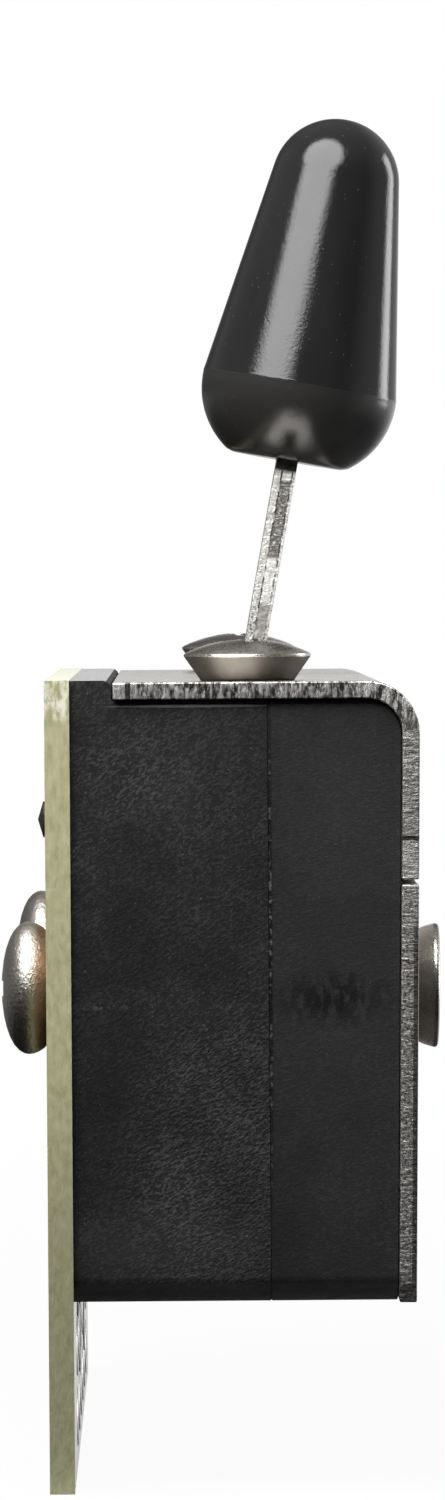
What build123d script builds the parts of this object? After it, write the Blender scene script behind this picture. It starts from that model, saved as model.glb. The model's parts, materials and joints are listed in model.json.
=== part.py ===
from build123d import *
import os
from math import acos, atan2, cos, degrees, hypot, radians, sin, sqrt, tan

# Lever selector switch for an electric guitar. The lever sweeps along five detents and also rocks
# sideways between two contact banks. A two-part moulded body hangs from a folded steel bracket, with
# a circuit board on one side.
#
# Millimetres and degrees. X runs from the circuit board to the bracket's leg, Y along the switch and
# Z up, out of the guitar's face. The origin lies between the two mounting screws, on the top face of
# the bracket. "Drop" is a distance below that face, "reach" a distance sideways from the screw line.

# Clearances
seat_gap = 0.03
thread_gap = 0.03
hole_gap = 0.1
running_gap = 0.05
swing_gap = 0.25
overrun = 1.0

# Mounting bracket
sheet = 0.7
bracket_overhang = 0.3
plate_reach = 5.41
leg_reach = 6.12
leg_lean = 0.7
bend_radius = 1.4
mounting_pitch = 41.3
collar_wall = 0.6
collar_height = 1.2
slit_drop = 8.0
slit_height = 0.2
slit_depth = 5.5

# Moulded housing
housing_end = 4.05
housing_drop = 24.5
board_reach = 7.13
parting_reach = 0.73
lip_gap = 0.05
lip_rise = 0.08
lip_radius = 0.35
side_wall = 1.0
roof_wall = 1.2
floor_wall = 1.2
end_wall = 1.2
end_radius = 1.07
cavity_radius = 0.8
end_rib = 1.2
boss_gap = 0.25
boss_wall = 0.6
axle_boss_wall = 1.2
axle_seat = 0.6
peg_end = 3.2
peg_drop = 5.5
peg_radius = 0.72
peg_stub = 0.12
peg_point = 0.21
leaf_post_start = 7.2
leaf_post_end = 9.0
leaf_post_rise = 1.5

# Circuit board and its wire holes
board_thickness = 1.0
board_overhang = 0.3
board_rise = 0.1
board_tail = 7.77
terminal_radius = 0.6
terminal_pitch = 6.0
terminal_columns = 6
terminal_row_shares = (0.36, 0.73)

# Screws and bushes
thread_radius = 1.5
clamp_inset = 3.9
clamp_drop = 12.5
clamp_head_radius = 2.7
clamp_head_height = 1.88
clamp_head_edge = 0.82
clamp_head_undercut = 0.4
clamp_screw_inset = 0.47
bush_wall = 0.5
bush_depth = 2.6
bush_neck = 0.12
bush_rim_radius = 2.53
bush_rim = 0.33
bush_height = 1.06
mounting_head_radius = 2.565
mounting_rim_rise = 1.07
mounting_rim = 0.12
mounting_dome_rise = 1.69
mounting_seat = 0.4
mounting_screw_drop = 7.0
cross_length = 2.6
cross_width = 0.7
cross_depth = 1.0

# Lever
rock_drop = 1.6
rest_tilt = 10.3
rock_travel = 20.0
blade_thickness = 0.9
blade_width = 3.6
blade_socket = 8.3
blade_corner = 0.6
ear_radius = 0.42
ear_grip = 1.25
tail_width = 2.4
tail_stop = 0.6

# Knob
knob_stand = 10.94
knob_length = 14.8
knob_ring_radius = 4.18
knob_ring_rise = 3.28
knob_base_radius = 2.5
knob_base_curve = 3.6
knob_dome_radius = 2.74

# Swing carrier, its axle and its detents
axle_stand = 8.8
axle_radius = 1.0
hub_wall = 1.6
hub_flat_cut = 0.2
prong_half_thickness = 1.3
prong_width = 1.5
ear_wall = 0.45
detent_room = 1.6
detent_half_angle = 38.0
detent_pitch = 12.0
detent_steps = 5
notch_radius = 0.62
notch_centre_rise = 0.25
foot_gap = 0.15
foot_stop = 0.35
foot_stop_rise = 0.5

# Leaf springs
detent_leaf_thickness = 0.25
detent_leaf_width = 2.2
detent_leaf_stand = 0.6
detent_nose_radius = 0.55
detent_nose_spread = 1.15
detent_leaf_bend = 0.35
rock_leaf_thickness = 0.2
rock_leaf_width = 2.0
rock_leaf_bend = 0.3
rock_leaf_shoulder = 0.97
rock_leaf_foot = 0.4
rock_leaf_shoulder_rise = 0.8
rock_leaf_hump_rise = 0.55

# Wiper block, wipers and contact banks
block_top_share = 0.5
block_left = 3.4
block_right = 1.0
block_gap = 0.3
block_radius = 0.4
nose_radius = 0.45
nose_rise = 0.4
leaf_room = 2.5
wiper_thickness = 0.2
finger_shares = (0.3, 0.7)
finger_height = 0.9
finger_bend = 0.35
wiper_foot = 1.0
wiper_tip_offset = 0.5
wiper_curl = 0.6
contact_thickness = 0.06
contact_width = 1.0
contact_arc = 9.0
contact_board_thickness = 0.8
contact_board_gap = 0.4
contact_board_margin = 1.8
window_side = 1.1
window_rise = 2.2
window_fall = 0.2
pin_size = 0.6
pin_inset = 1.7
pin_shares = (0.3, 0.58, 0.86)
pin_stub = 0.12

# Lengths along the switch
housing_length = mounting_pitch + 2 * housing_end
bracket_length = housing_length + 2 * bracket_overhang
board_length = housing_length + 2 * board_overhang
clamp_pitch = mounting_pitch - 2 * clamp_inset
peg_spacing = housing_length - 2 * peg_end
bush_radius = thread_radius + bush_wall
clamp_boss_radius = bush_radius + hole_gap + boss_wall
cavity_half_length = clamp_pitch / 2 - clamp_boss_radius - boss_gap - end_rib
pin_line = cavity_half_length - pin_inset
clamp_places = (-clamp_pitch / 2, clamp_pitch / 2)
mounting_places = (-mounting_pitch / 2, mounting_pitch / 2)
peg_places = (-peg_spacing / 2, peg_spacing / 2)
pin_places = (-pin_line, pin_line)

# Levels below the plate's top face
roof_drop = sheet + roof_wall
floor_drop = housing_drop - floor_wall
axle_drop = floor_drop - axle_stand
board_drop = housing_drop + board_tail
detent_leaf_drop = floor_drop - detent_leaf_stand

# Places sideways from the screw line
lean_slope = tan(radians(leg_lean))
bank_wall_reach = leg_reach - housing_drop * lean_slope - side_wall
left_wall_reach = board_reach - side_wall
board_outer_reach = board_reach + board_thickness
lip_reach = plate_reach + lip_gap
leg_face_at_clamp = leg_reach + sheet - clamp_drop * lean_slope
bank_a_reach = -board_reach + contact_thickness
bank_b_reach = bank_wall_reach - contact_board_thickness - contact_thickness

# Carrier and lever
lever_radius = axle_drop - rock_drop
detent_radius = axle_stand - detent_room
hub_radius = axle_radius + hub_wall
hub_flat_rise = hub_radius - hub_flat_cut
axle_boss_radius = axle_radius + axle_boss_wall
sweep_limit = detent_pitch * (detent_steps - 1) / 2
far_tilt = rest_tilt - rock_travel
blade_half = blade_width / 2
prong_inner = blade_half + swing_gap
prong_outer = prong_inner + prong_width
ear_reach = prong_inner + ear_grip
fork_top_radius = hypot(lever_radius + ear_radius, ear_reach) + ear_wall
slot_half_width = prong_half_thickness + swing_gap
blade_sweep = axle_drop * tan(radians(sweep_limit)) + blade_half / cos(radians(sweep_limit))
slot_half_length = blade_sweep + slot_half_width
nose_depth = lever_radius - hub_flat_rise - leaf_room
nose_reach = nose_depth * sin(radians(rest_tilt))
rock_leaf_shoulder_reach = nose_reach + rock_leaf_shoulder
rock_leaf_foot_reach = rock_leaf_shoulder_reach + rock_leaf_foot
hub_half_length = rock_leaf_foot_reach + foot_gap + foot_stop
block_top = nose_depth * block_top_share
block_bottom = nose_depth - nose_rise
block_half_width = prong_inner - block_gap
tail_length = block_bottom - tail_stop
finger_depths = [block_top + share * (block_bottom - block_top) for share in finger_shares]
window_top_drop = rock_drop + block_top - window_rise
window_bottom_drop = rock_drop + block_bottom + window_fall
window_half_width = (axle_drop - window_top_drop) * sin(radians(sweep_limit)) + window_side
contact_board_top_drop = roof_drop + contact_board_gap
contact_board_bottom_drop = window_bottom_drop + contact_board_margin
contact_board_height = contact_board_bottom_drop - contact_board_top_drop
contact_board_half_length = cavity_half_length - contact_board_gap
pin_drops = [contact_board_top_drop + share * contact_board_height for share in pin_shares]
lever_place = Location((0, 0, -rock_drop), (0, rest_tilt, 0))


def along_x(sketch, start, end):
    """Extrude a sketch drawn in (Y, Z) between two X planes."""
    return extrude(Plane.YZ.offset(start) * sketch, end - start)


def along_y(sketch, start, end):
    """Extrude a sketch drawn in (X, Z) between two Y planes."""
    return extrude(Plane.XZ.offset(-end) * sketch, end - start)


def along_z(sketch, start, end):
    """Extrude a sketch drawn in (X, Y) between two Z planes."""
    return extrude(Plane.XY.offset(start) * sketch, end - start)


def span(low, high):
    """Rectangle between two opposite corners."""
    centre = ((low[0] + high[0]) / 2, (low[1] + high[1]) / 2)
    return Pos(*centre) * Rectangle(high[0] - low[0], high[1] - low[1])


def strip(points, bend, thickness):
    """Bent strip of even thickness along a line with rounded corners."""
    return trace(FilletPolyline(*points, radius=bend), thickness)


def disc(radius, y, z):
    """Circle in (Y, Z)."""
    return Pos(y, z) * Circle(radius)


def turned(outline):
    """Solid of revolution about Z from a closed outline of (radius, height) edges."""
    return revolve(Plane.XZ * make_face(outline), Axis.Z)


def mounting_bracket():
    """Folded sheet: top plate with burred screw holes, bend and leg."""
    middle = sheet / 2
    leg_middle = leg_reach + middle
    fold = FilletPolyline(
        (-plate_reach, -middle),
        (leg_middle, -middle),
        (leg_middle - housing_drop * lean_slope, -housing_drop),
        radius=bend_radius + middle,
    )
    body = along_y(trace(fold, sheet), -bracket_length / 2, bracket_length / 2)
    slot = SlotOverall(2 * slot_half_length, 2 * slot_half_width, rotation=90)
    body -= along_z(slot, -sheet - overrun, overrun)
    hole_radius = thread_radius + thread_gap
    collar_drop = sheet + collar_height
    for y in mounting_places:
        body += along_z(Pos(0, y) * Circle(thread_radius + collar_wall), -collar_drop, -middle)
        body -= along_z(Pos(0, y) * Circle(hole_radius), -collar_drop - overrun, overrun)
        body -= Pos(0, y, -mounting_seat / 2) * Cone(hole_radius, hole_radius + mounting_seat, mounting_seat)
    for y in clamp_places:
        hole = disc(bush_radius + hole_gap, y, -clamp_drop)
        body -= along_x(hole, leg_reach - overrun, leg_reach + sheet + overrun)
    for side in (-1, 1):
        end = side * bracket_length / 2
        inner = end - side * slit_depth
        slit = span(
            (min(end, inner), -slit_drop - slit_height / 2),
            (max(end, inner), -slit_drop + slit_height / 2),
        )
        body -= along_x(slit, leg_reach - overrun, leg_reach + sheet + overrun)
    return body


def cavity_sketch():
    """Hollow of the housing in (Y, Z): the mechanism room and two cored end rooms."""
    height = floor_drop - roof_drop
    middle = -(floor_drop + roof_drop) / 2
    rooms = Pos(0, middle) * RectangleRounded(2 * cavity_half_length, height, cavity_radius)
    inner = cavity_half_length + end_rib
    outer = housing_length / 2 - end_wall
    for y in clamp_places:
        side = 1 if y > 0 else -1
        room = RectangleRounded(outer - inner, height, cavity_radius)
        room = Pos(side * (inner + outer) / 2, middle) * room
        rooms += room - disc(clamp_boss_radius, y, -clamp_drop)
    return rooms


def leaf_posts(start, end):
    """Slotted posts that hold the ends of the detent leaf, between two X planes."""
    posts = Part()
    gap = detent_leaf_thickness / 2 + running_gap
    for side in (-1, 1):
        near = side * leaf_post_start
        far = side * leaf_post_end
        low = min(near, far)
        high = max(near, far)
        post = span((low, -floor_drop - overrun), (high, -floor_drop + leaf_post_rise))
        slot_end = side * (leaf_post_end - cavity_radius)
        slot = span(
            (min(near - side * overrun, slot_end), -detent_leaf_drop - gap),
            (max(near - side * overrun, slot_end), -detent_leaf_drop + gap),
        )
        posts += along_x(post - slot, start, end)
    return posts


def cut_roof(body):
    """Cut the lever slot and the two collar holes through the roof of a housing half."""
    slot = SlotOverall(2 * slot_half_length, 2 * slot_half_width, rotation=90)
    body -= along_z(slot, -roof_drop - overrun, overrun)
    for y in mounting_places:
        collar = Pos(0, y) * Circle(thread_radius + collar_wall + hole_gap)
        body -= along_z(collar, -roof_drop - overrun, overrun)
    return body


def left_housing():
    """Body half on the board side: lip beside the plate, contact window, pegs and posts."""
    outline = make_face(
        Polyline(
            (-board_reach, lip_rise),
            (-lip_reach, lip_rise),
            (-lip_reach, -sheet - seat_gap),
            (parting_reach, -sheet - seat_gap),
            (parting_reach, -housing_drop),
            (-board_reach, -housing_drop),
            close=True,
        )
    )
    lip_corner = outline.vertices().sort_by_distance((-lip_reach, lip_rise))[0]
    outline = fillet(lip_corner, lip_radius)
    body = along_y(outline, -housing_length / 2, housing_length / 2)
    body = fillet(body.edges().filter_by(Axis.X).group_by(Axis.Z)[0], end_radius)
    body -= along_x(cavity_sketch(), -left_wall_reach, parting_reach + overrun)
    boss_face = hub_half_length + running_gap
    body += along_x(disc(axle_boss_radius, 0, -axle_drop), -left_wall_reach, -boss_face)
    bore = disc(axle_radius + seat_gap, 0, -axle_drop)
    body -= along_x(bore, -left_wall_reach - axle_seat - hole_gap, -boss_face + overrun)
    body += leaf_posts(-left_wall_reach, parting_reach)
    window = RectangleRounded(2 * window_half_width, window_bottom_drop - window_top_drop, cavity_radius)
    window = Pos(0, -(window_bottom_drop + window_top_drop) / 2) * window
    pin_slot_half = pin_size / 2 + hole_gap
    cuts = window
    for y in pin_places:
        cuts += span(
            (y - pin_slot_half, -max(pin_drops) - pin_slot_half),
            (y + pin_slot_half, -min(pin_drops) + pin_slot_half),
        )
    body -= along_x(cuts, -board_reach - overrun, -left_wall_reach + overrun)
    for y in clamp_places:
        hole = disc(thread_radius + hole_gap, y, -clamp_drop)
        body -= along_x(hole, -board_reach - overrun, parting_reach + overrun)
    shank = board_thickness + peg_stub
    peg = turned(
        Polyline(
            (0, -side_wall),
            (peg_radius, -side_wall),
            (peg_radius, shank),
            (0, shank + peg_point),
            close=True,
        )
    )
    for y in peg_places:
        body += Location((-board_reach, y, -peg_drop), (0, -90, 0)) * peg
    return cut_roof(body)


def right_housing():
    """Body half under the bend and leg, with the wall that carries the second contact bank."""
    face_top = leg_reach - seat_gap
    outline = make_face(
        Polyline(
            (parting_reach, -sheet - seat_gap),
            (face_top, -sheet - seat_gap),
            (face_top - housing_drop * lean_slope, -housing_drop),
            (parting_reach, -housing_drop),
            close=True,
        )
    )
    bend_corner = outline.vertices().sort_by_distance((face_top, -sheet))[0]
    outline = fillet(bend_corner, bend_radius)
    body = along_y(outline, -housing_length / 2, housing_length / 2)
    body = fillet(body.edges().filter_by(Axis.X).group_by(Axis.Z)[0], end_radius)
    body -= along_x(cavity_sketch(), parting_reach - overrun, bank_wall_reach)
    boss_face = hub_half_length + running_gap
    body += along_x(disc(axle_boss_radius, 0, -axle_drop), boss_face, bank_wall_reach)
    bore = disc(axle_radius + seat_gap, 0, -axle_drop)
    body -= along_x(bore, boss_face - overrun, bank_wall_reach + axle_seat + hole_gap)
    body += leaf_posts(parting_reach, bank_wall_reach)
    bush_end = leg_face_at_clamp - sheet - bush_depth - hole_gap
    for y in clamp_places:
        hole = disc(thread_radius + hole_gap, y, -clamp_drop)
        seat = disc(bush_radius + hole_gap, y, -clamp_drop)
        body -= along_x(hole, parting_reach - overrun, leg_reach + overrun)
        body -= along_x(seat, bush_end, leg_reach + overrun)
    return cut_roof(body)


def pin_holes():
    """Square clearance holes for the link pins in (Y, Z)."""
    side = pin_size + 2 * running_gap
    holes = Sketch()
    for y in pin_places:
        for drop in pin_drops:
            holes += Pos(y, -drop) * Rectangle(side, side)
    return holes


def terminal_places():
    """Centres of the wire holes, in two rows below the body."""
    first = -terminal_pitch * (terminal_columns - 1) / 2
    columns = [first + column * terminal_pitch for column in range(terminal_columns)]
    drops = [housing_drop + share * board_tail for share in terminal_row_shares]
    return [(y, drop) for drop in drops for y in columns]


def circuit_board():
    """Board on the body's side, drilled for screws, pegs, link pins and wires."""
    outline = span((-board_length / 2, -board_drop), (board_length / 2, board_rise))
    outline -= pin_holes()
    for y in clamp_places:
        outline -= disc(thread_radius + hole_gap, y, -clamp_drop)
    for y in peg_places:
        outline -= disc(peg_radius + seat_gap, y, -peg_drop)
    for y, drop in terminal_places():
        outline -= disc(terminal_radius, y, -drop)
    return along_x(outline, -board_outer_reach, -board_reach)


def contact_arcs(radii, start, end):
    """One common arc and a row of detent segments, swept about the axle, between two X planes."""
    common_radius, segment_radius = radii
    solids = []
    half_sweep = sweep_limit + contact_arc / 2
    spans = [(common_radius, 0, half_sweep)]
    for step in range(detent_steps):
        spans.append((segment_radius, step * detent_pitch - sweep_limit, contact_arc / 2))
    for radius, middle, half in spans:
        path = CenterArc((0, -axle_drop), radius, 90 + middle - half, 2 * half)
        solids.append(along_x(trace(path, contact_width), start, end))
    return solids


def wiper_radii(tilt, contact_reach):
    """Distances from the axle at which the two wiper fingers meet a contact bank."""
    angle = radians(tilt)
    tip = [finger_tip(depth, tilt, contact_reach) for depth in finger_depths]
    drops = [rock_drop + x * sin(angle) + depth * cos(angle) for x, depth in zip(tip, finger_depths)]
    return [axle_drop - drop for drop in reversed(drops)]


def finger_tip(depth, tilt, contact_reach):
    """Sideways place of a finger's tip on the lever, so that it meets the contacts at a given tilt."""
    angle = radians(tilt)
    return (contact_reach + (depth + finger_height / 2) * sin(angle)) / cos(angle)


def bank_a_contacts():
    """Contact arcs on the inner face of the circuit board."""
    return contact_arcs(wiper_radii(rest_tilt, bank_a_reach), -board_reach, bank_a_reach)


def bank_b_contacts():
    """Contact arcs on the small board."""
    return contact_arcs(wiper_radii(far_tilt, bank_b_reach), bank_b_reach, bank_b_reach + contact_thickness)


def contact_board():
    """Small board on the right half's wall."""
    outline = span(
        (-contact_board_half_length, -contact_board_bottom_drop),
        (contact_board_half_length, -contact_board_top_drop),
    )
    outline -= pin_holes()
    return along_x(outline, bank_wall_reach - contact_board_thickness, bank_wall_reach)


def link_pins():
    """Square pins that join the two boards, three at each end of the mechanism room."""
    pin = along_x(Rectangle(pin_size, pin_size), -board_outer_reach - pin_stub, bank_wall_reach)
    return [Pos(0, y, -drop) * pin for y in pin_places for drop in pin_drops]


def cross_recess():
    """Cross-shaped driver recess, open at the top, with its floor at zero."""
    arm = Rectangle(cross_length, cross_width) + Rectangle(cross_width, cross_length)
    return along_z(arm, 0, cross_depth + overrun)


def crown_arc(rim, rise):
    """Arc of a domed head, from its rim up to the axis."""
    radius = (rim[0] ** 2 + rise**2) / (2 * rise)
    return RadiusArc(rim, (0, rim[1] + rise), -radius)


def clamp_screws():
    """Pan-head screws through the board and both body halves."""
    crown = clamp_head_height - clamp_head_edge
    foot = clamp_head_radius - clamp_head_undercut
    rim = (clamp_head_radius, clamp_head_edge)
    head = turned(
        [
            Line((0, 0), (foot, 0)),
            Line((foot, 0), rim),
            crown_arc(rim, crown),
            Line((0, clamp_head_height), (0, 0)),
        ]
    )
    head -= Pos(0, 0, clamp_head_height - cross_depth) * cross_recess()
    length = board_outer_reach + leg_face_at_clamp - clamp_screw_inset
    screw = head + along_z(Circle(thread_radius), -length, 0)
    return [Location((-board_outer_reach, y, -clamp_drop), (0, -90, 0)) * screw for y in clamp_places]


def clamp_bushes():
    """Flared bushes seated on the leg, which take the ends of the clamp screws."""
    bore = thread_radius + thread_gap + running_gap
    outline = Polyline(
        (bore, -bush_depth - sheet),
        (bush_radius, -bush_depth - sheet),
        (bush_radius, 0),
        (bush_radius + bush_neck, 0),
        (bush_rim_radius, bush_height - bush_rim),
        (bush_rim_radius, bush_height),
        (bore, bush_height),
        close=True,
    )
    bush = turned(outline)
    return [Location((leg_face_at_clamp, y, -clamp_drop), (0, 90 + leg_lean, 0)) * bush for y in clamp_places]


def mounting_screws():
    """Raised countersunk screws in the burred holes of the plate."""
    rim = (mounting_head_radius, mounting_rim_rise)
    shank = Polyline(
        (0, mounting_dome_rise),
        (0, -mounting_screw_drop),
        (thread_radius, -mounting_screw_drop),
        (thread_radius, -mounting_seat),
        (thread_radius + mounting_seat, 0),
        (mounting_head_radius, mounting_rim_rise - mounting_rim),
        rim,
    )
    screw = turned([shank, crown_arc(rim, mounting_dome_rise - mounting_rim_rise)])
    screw -= Pos(0, 0, mounting_dome_rise - cross_depth) * cross_recess()
    return [Pos(0, y, 0) * screw for y in mounting_places]


def lever_blade():
    """Stamped steel lever: stem, two round trunnion ears and a narrower tail."""
    top = knob_stand + blade_socket
    stem = span((-blade_half, -ear_radius), (blade_half, top))
    stem = fillet(stem.vertices().group_by(Axis.Y)[-1], blade_corner)
    tail = span((-tail_width / 2, -tail_length), (tail_width / 2, 0))
    blade = along_x(stem + tail, -blade_thickness / 2, blade_thickness / 2)
    blade += Rot(90, 0, 0) * Cylinder(ear_radius, 2 * ear_reach)
    return lever_place * blade


def lever_knob():
    """Moulded tip: round dome, cone, sharp parting ring and a curved base, slotted for the blade."""
    dome_centre = knob_length - knob_dome_radius
    rise = dome_centre - knob_ring_rise
    taper = acos(knob_dome_radius / hypot(knob_ring_radius, rise)) - atan2(rise, knob_ring_radius)
    shoulder = (knob_dome_radius * cos(taper), dome_centre + knob_dome_radius * sin(taper))
    ring = (knob_ring_radius, knob_ring_rise)
    knob = turned(
        [
            Line((0, 0), (knob_base_radius, 0)),
            RadiusArc((knob_base_radius, 0), ring, -knob_base_curve),
            Line(ring, shoulder),
            CenterArc((0, dome_centre), knob_dome_radius, degrees(taper), 90 - degrees(taper)),
            Line((0, knob_length), (0, 0)),
        ]
    )
    socket = Rectangle(blade_thickness + 2 * seat_gap, blade_width + 2 * seat_gap)
    knob -= along_z(socket, -overrun, blade_socket + seat_gap)
    return lever_place * Pos(0, 0, knob_stand) * knob


def wiper_block():
    """Insulating block on the lever's tail, with a rounded nose below it."""
    outline = span((-block_left, -block_bottom), (block_right, -block_top))
    outline = fillet(outline.vertices(), block_radius)
    outline += span((-nose_radius, -nose_depth), (nose_radius, -block_bottom))
    outline += Pos(0, -nose_depth) * Circle(nose_radius)
    block = along_y(outline, -block_half_width, block_half_width)
    socket = Rectangle(blade_thickness + 2 * seat_gap, tail_width + 2 * seat_gap)
    block -= along_z(socket, -tail_length - seat_gap, 0)
    return lever_place * block


def wiper(face, tilt, contact_reach):
    """Two-finger sliding contact: a foot on the block's face and two curled fingers."""
    side = -1 if contact_reach < 0 else 1
    seat = side * (face + wiper_thickness / 2)
    heel = -block_half_width
    knee = heel + wiper_foot
    low = -max(finger_depths) - finger_height / 2
    high = -min(finger_depths) + finger_height / 2
    solid = along_z(trace(Line((seat, heel), (seat, knee)), wiper_thickness), low, high)
    for depth in finger_depths:
        tip = finger_tip(depth, tilt, contact_reach - side * running_gap) - side * wiper_thickness / 2
        points = [
            (seat, heel),
            (seat, knee),
            (tip, wiper_tip_offset),
            (tip - side * wiper_curl, wiper_tip_offset + wiper_curl),
        ]
        finger = strip(points, finger_bend, wiper_thickness)
        solid += along_z(finger, -depth - finger_height / 2, -depth + finger_height / 2)
    return lever_place * solid


def bank_a_wiper():
    """Sliding contact towards the circuit board."""
    return wiper(block_left, rest_tilt, bank_a_reach)


def bank_b_wiper():
    """Sliding contact towards the small board."""
    return wiper(block_right, far_tilt, bank_b_reach)


def swing_carrier():
    """Moulded fork on the axle: two prongs with ear holes, a hub and a notched detent sector."""
    axle = (0, -axle_drop)
    slot_floor = hub_flat_rise - axle_drop
    fork = span((-prong_outer, -axle_drop), (prong_outer, overrun)) & Pos(*axle) * Circle(fork_top_radius)
    fork -= span((-prong_inner, slot_floor), (prong_inner, overrun))
    spread = radians(detent_half_angle)
    turns = (-spread, 0, spread)
    rim = [(detent_radius * sin(turn), -axle_drop - detent_radius * cos(turn)) for turn in turns]
    shoulder = (prong_outer, -axle_drop)
    sector = make_face(
        [
            Line((-shoulder[0], shoulder[1]), rim[0]),
            ThreePointArc(*rim),
            Line(rim[2], shoulder),
            Line(shoulder, (-shoulder[0], shoulder[1])),
        ]
    )
    notch_centre = detent_radius + notch_centre_rise
    for step in range(detent_steps):
        turn = radians(step * detent_pitch - sweep_limit)
        sector -= disc(notch_radius, notch_centre * sin(turn), -axle_drop - notch_centre * cos(turn))
    body = along_x(fork + sector, -prong_half_thickness, prong_half_thickness)
    flat = span((-prong_inner, slot_floor), (prong_inner, 0))
    hub = Pos(*axle) * Circle(hub_radius) - flat
    body += along_x(hub, -hub_half_length, hub_half_length)
    for side in (-1, 1):
        inner = side * (hub_half_length - foot_stop)
        outer = side * hub_half_length
        stop = span(
            (-rock_leaf_width / 2, slot_floor - foot_stop_rise),
            (rock_leaf_width / 2, slot_floor + foot_stop_rise),
        )
        body += along_x(stop, min(inner, outer), max(inner, outer))
    bore = disc(axle_radius + running_gap, *axle)
    body -= along_x(bore, -hub_half_length - overrun, hub_half_length + overrun)
    ears = Rot(90, 0, 0) * Cylinder(ear_radius + running_gap, 2 * (prong_outer + overrun))
    return body - Pos(0, 0, -rock_drop) * ears


def pivot_axle():
    """Steel pin in blind bores of the two body halves."""
    return along_x(disc(axle_radius, 0, -axle_drop), -left_wall_reach - axle_seat, bank_wall_reach + axle_seat)


def detent_leaf():
    """Leaf spring held at both ends, with a nose that sits in a notch of the carrier."""
    nose_top = -axle_drop - detent_radius - notch_centre_rise + detent_nose_radius
    end = leaf_post_end - cavity_radius - seat_gap
    points = [
        (-end, -detent_leaf_drop),
        (-detent_nose_spread, -detent_leaf_drop),
        (0, nose_top),
        (detent_nose_spread, -detent_leaf_drop),
        (end, -detent_leaf_drop),
    ]
    leaf = strip(points, detent_leaf_bend, detent_leaf_thickness)
    return along_x(leaf, -detent_leaf_width / 2, detent_leaf_width / 2)


def rock_leaf():
    """Leaf spring on the hub with two valleys, which holds the lever's nose to either side."""
    nose_z = -rock_drop - nose_depth * cos(radians(rest_tilt))
    valley = nose_z - (nose_radius + running_gap + rock_leaf_thickness / 2) * sqrt(2)
    foot = hub_flat_rise - axle_drop + rock_leaf_thickness
    half = [
        (rock_leaf_foot_reach, foot),
        (rock_leaf_shoulder_reach, valley + rock_leaf_shoulder_rise),
        (nose_reach, valley),
    ]
    left = [(-x, z) for x, z in half]
    points = left + [(0, valley + rock_leaf_hump_rise)] + half[::-1]
    leaf = strip(points, rock_leaf_bend, rock_leaf_thickness)
    return along_y(leaf, -rock_leaf_width / 2, rock_leaf_width / 2)


pieces = (
    mounting_bracket,
    left_housing,
    right_housing,
    circuit_board,
    bank_a_contacts,
    contact_board,
    bank_b_contacts,
    link_pins,
    clamp_screws,
    clamp_bushes,
    mounting_screws,
    pivot_axle,
    detent_leaf,
    swing_carrier,
    rock_leaf,
    lever_blade,
    lever_knob,
    wiper_block,
    bank_a_wiper,
    bank_b_wiper,
)

os.makedirs("parts", exist_ok=True)
for piece in pieces:
    shape = piece()
    if isinstance(shape, list):
        shape = Compound(children=[solid for part in shape for solid in part.solids()])
    export_step(shape, f"parts/{piece.__name__}.step")
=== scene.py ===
import json
import math

import bmesh
import bpy
from mathutils import Matrix, Vector


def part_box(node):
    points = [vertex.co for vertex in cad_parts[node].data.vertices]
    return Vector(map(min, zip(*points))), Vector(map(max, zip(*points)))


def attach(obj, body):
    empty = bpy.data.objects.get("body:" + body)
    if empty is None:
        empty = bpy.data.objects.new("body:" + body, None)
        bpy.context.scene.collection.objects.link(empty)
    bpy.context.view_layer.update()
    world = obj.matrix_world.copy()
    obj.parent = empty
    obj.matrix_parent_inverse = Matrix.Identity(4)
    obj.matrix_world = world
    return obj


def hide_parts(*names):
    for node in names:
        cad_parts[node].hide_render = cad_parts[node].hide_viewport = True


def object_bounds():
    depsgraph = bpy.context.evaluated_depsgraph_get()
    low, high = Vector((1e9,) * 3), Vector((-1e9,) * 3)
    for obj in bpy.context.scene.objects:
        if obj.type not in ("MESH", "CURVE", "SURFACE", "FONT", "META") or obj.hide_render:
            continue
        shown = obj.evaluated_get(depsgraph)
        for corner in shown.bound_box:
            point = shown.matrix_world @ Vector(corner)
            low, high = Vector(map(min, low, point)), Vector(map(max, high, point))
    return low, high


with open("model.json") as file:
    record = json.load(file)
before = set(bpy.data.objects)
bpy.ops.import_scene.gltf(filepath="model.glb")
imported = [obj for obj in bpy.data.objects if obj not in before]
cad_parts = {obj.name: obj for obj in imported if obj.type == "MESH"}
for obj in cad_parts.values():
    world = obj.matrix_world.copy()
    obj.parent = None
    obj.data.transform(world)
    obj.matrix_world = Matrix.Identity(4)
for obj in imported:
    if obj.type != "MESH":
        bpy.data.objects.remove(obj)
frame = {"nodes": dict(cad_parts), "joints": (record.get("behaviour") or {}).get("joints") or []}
cad_low, cad_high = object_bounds()
nodes = frame["nodes"]
mm = 0.001

# Mounting bracket: the folded sheet that screws under the guitar's face, with a top plate, a tight bend
# and one leg down the side of the body. Blanked from 0.7 mm steel, folded and nickel plated. Its two
# blanked ends keep the rough face that the press leaves, streaked on the plate and granular on the leg.
bracket_low, bracket_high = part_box("mounting_bracket")
bracket_edge = 0.07 * mm
bracket_end = bracket_high.y
plate_tip = ((-5.2 * mm, -0.4 * mm), (0.5 * mm, 0.8 * mm))
bend_highlight_spot = ((5.5 * mm, -0.7 * mm), (1.3 * mm, 1.3 * mm))
bend_foot = -2.0 * mm
leg_lean = math.radians(0.7)
leg_length = 25.0 * mm
leg_outer = 6.82 * mm
leg_foot = bracket_low.z + 0.1 * mm
foot_drop = 0.22 * mm
shaded_rim_width = 0.2 * mm
dark_lines = (
    ((6.4 * mm, -6.25 * mm), (3.0 * mm, 0.1 * mm)),
    ((-4.81 * mm, 0.0), (0.13 * mm, 2.0 * mm)),
)
bare_steel = (0.66, 0.64, 0.61)
bright_steel = (0.85, 0.83, 0.8)


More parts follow.
